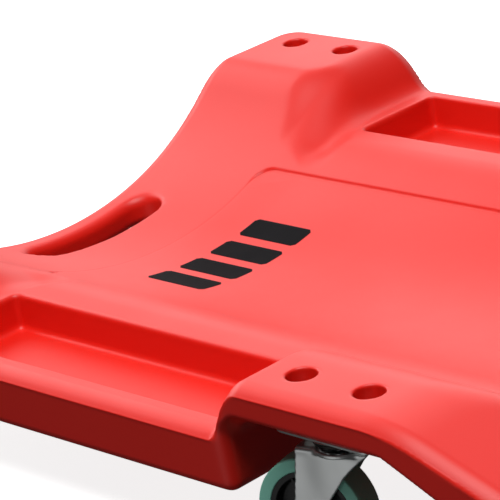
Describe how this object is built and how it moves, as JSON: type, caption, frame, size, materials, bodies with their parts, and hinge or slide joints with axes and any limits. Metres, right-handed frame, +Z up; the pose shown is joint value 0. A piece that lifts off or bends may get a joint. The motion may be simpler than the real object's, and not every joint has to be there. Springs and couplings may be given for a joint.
{
  "type": "mechanics creeper",
  "caption": "Low moulded plastic creeper with a trough-shaped deck, side tool trays, raised caster pads, a padded headrest, a handle slot and swivel casters.",
  "frame": {"origin": "on the floor, under the middle of the deck's outline", "axes": "+X to the right of a person lying on the deck, +Y towards the head end along the deck, +Z up"},
  "size_m": [0.482, 1.016, 0.107],
  "materials": {
    "red_plastic": "satin moulded polyethylene",
    "zinc_steel": "zinc plated",
    "fastener_steel": "zinc plated",
    "ball_steel": "polished",
    "black_nylon": "moulded, black",
    "green_rubber": "moulded elastomer, grey-green",
    "black_vinyl": "grained vinyl over foam",
    "board": "plywood"
  },
  "bodies": {
    "deck": {"deck_body": "red_plastic", "headrest_board": "board", "headrest_cushion": "black_vinyl", "headrest_screws": "fastener_steel", "caster_bolts": "fastener_steel", "caster_washers": "fastener_steel", "caster_nuts": "fastener_steel", "caster_plate_foot_left": "zinc_steel", "kingpin_foot_left": "zinc_steel", "caster_plate_foot_right": "zinc_steel", "kingpin_foot_right": "zinc_steel", "caster_plate_mid_left": "zinc_steel", "kingpin_mid_left": "zinc_steel", "caster_plate_mid_right": "zinc_steel", "kingpin_mid_right": "zinc_steel", "caster_plate_head_left": "zinc_steel", "kingpin_head_left": "zinc_steel", "caster_plate_head_right": "zinc_steel", "kingpin_head_right": "zinc_steel"},
    "swivel_foot_left": {"fork_foot_left": "zinc_steel", "swivel_balls_foot_left": "ball_steel", "axle_bolt_foot_left": "fastener_steel", "axle_nut_foot_left": "fastener_steel"},
    "wheel_foot_left": {"wheel_hub_foot_left": "black_nylon", "tyre_foot_left": "green_rubber"},
    "swivel_foot_right": {"fork_foot_right": "zinc_steel", "swivel_balls_foot_right": "ball_steel", "axle_bolt_foot_right": "fastener_steel", "axle_nut_foot_right": "fastener_steel"},
    "wheel_foot_right": {"wheel_hub_foot_right": "black_nylon", "tyre_foot_right": "green_rubber"},
    "swivel_mid_left": {"fork_mid_left": "zinc_steel", "swivel_balls_mid_left": "ball_steel", "axle_bolt_mid_left": "fastener_steel", "axle_nut_mid_left": "fastener_steel"},
    "wheel_mid_left": {"wheel_hub_mid_left": "black_nylon", "tyre_mid_left": "green_rubber"},
    "swivel_mid_right": {"fork_mid_right": "zinc_steel", "swivel_balls_mid_right": "ball_steel", "axle_bolt_mid_right": "fastener_steel", "axle_nut_mid_right": "fastener_steel"},
    "wheel_mid_right": {"wheel_hub_mid_right": "black_nylon", "tyre_mid_right": "green_rubber"},
    "swivel_head_left": {"fork_head_left": "zinc_steel", "swivel_balls_head_left": "ball_steel", "axle_bolt_head_left": "fastener_steel", "axle_nut_head_left": "fastener_steel"},
    "wheel_head_left": {"wheel_hub_head_left": "black_nylon", "tyre_head_left": "green_rubber"},
    "swivel_head_right": {"fork_head_right": "zinc_steel", "swivel_balls_head_right": "ball_steel", "axle_bolt_head_right": "fastener_steel", "axle_nut_head_right": "fastener_steel"},
    "wheel_head_right": {"wheel_hub_head_right": "black_nylon", "tyre_head_right": "green_rubber"}
  },
  "joints": [
    {"name": "swivel_turn_foot_left", "type": "hinge", "parent": "deck", "child": "swivel_foot_left", "pos_m": [-0.212, -0.45, 0.0732], "axis": [0, 0, 1], "continuous": true},
    {"name": "wheel_roll_foot_left", "type": "hinge", "parent": "swivel_foot_left", "child": "wheel_foot_left", "pos_m": [-0.20646, -0.47067, 0.0325], "axis": [0.9659, 0.2588, 0], "continuous": true},
    {"name": "swivel_turn_foot_right", "type": "hinge", "parent": "deck", "child": "swivel_foot_right", "pos_m": [0.212, -0.45, 0.0732], "axis": [0, 0, 1], "continuous": true},
    {"name": "wheel_roll_foot_right", "type": "hinge", "parent": "swivel_foot_right", "child": "wheel_foot_right", "pos_m": [0.21754, -0.47067, 0.0325], "axis": [0.9659, 0.2588, 0], "continuous": true},
    {"name": "swivel_turn_mid_left", "type": "hinge", "parent": "deck", "child": "swivel_mid_left", "pos_m": [-0.212, -0.027, 0.0732], "axis": [0, 0, 1], "continuous": true},
    {"name": "wheel_roll_mid_left", "type": "hinge", "parent": "swivel_mid_left", "child": "wheel_mid_left", "pos_m": [-0.20646, -0.04767, 0.0325], "axis": [0.9659, 0.2588, 0], "continuous": true},
    {"name": "swivel_turn_mid_right", "type": "hinge", "parent": "deck", "child": "swivel_mid_right", "pos_m": [0.212, -0.027, 0.0732], "axis": [0, 0, 1], "continuous": true},
    {"name": "wheel_roll_mid_right", "type": "hinge", "parent": "swivel_mid_right", "child": "wheel_mid_right", "pos_m": [0.21754, -0.04767, 0.0325], "axis": [0.9659, 0.2588, 0], "continuous": true},
    {"name": "swivel_turn_head_left", "type": "hinge", "parent": "deck", "child": "swivel_head_left", "pos_m": [-0.212, 0.396, 0.0732], "axis": [0, 0, 1], "continuous": true},
    {"name": "wheel_roll_head_left", "type": "hinge", "parent": "swivel_head_left", "child": "wheel_head_left", "pos_m": [-0.20646, 0.37533, 0.0325], "axis": [0.9659, 0.2588, 0], "continuous": true},
    {"name": "swivel_turn_head_right", "type": "hinge", "parent": "deck", "child": "swivel_head_right", "pos_m": [0.212, 0.396, 0.0732], "axis": [0, 0, 1], "continuous": true},
    {"name": "wheel_roll_head_right", "type": "hinge", "parent": "swivel_head_right", "child": "wheel_head_right", "pos_m": [0.21754, 0.37533, 0.0325], "axis": [0.9659, 0.2588, 0], "continuous": true}
  ]
}
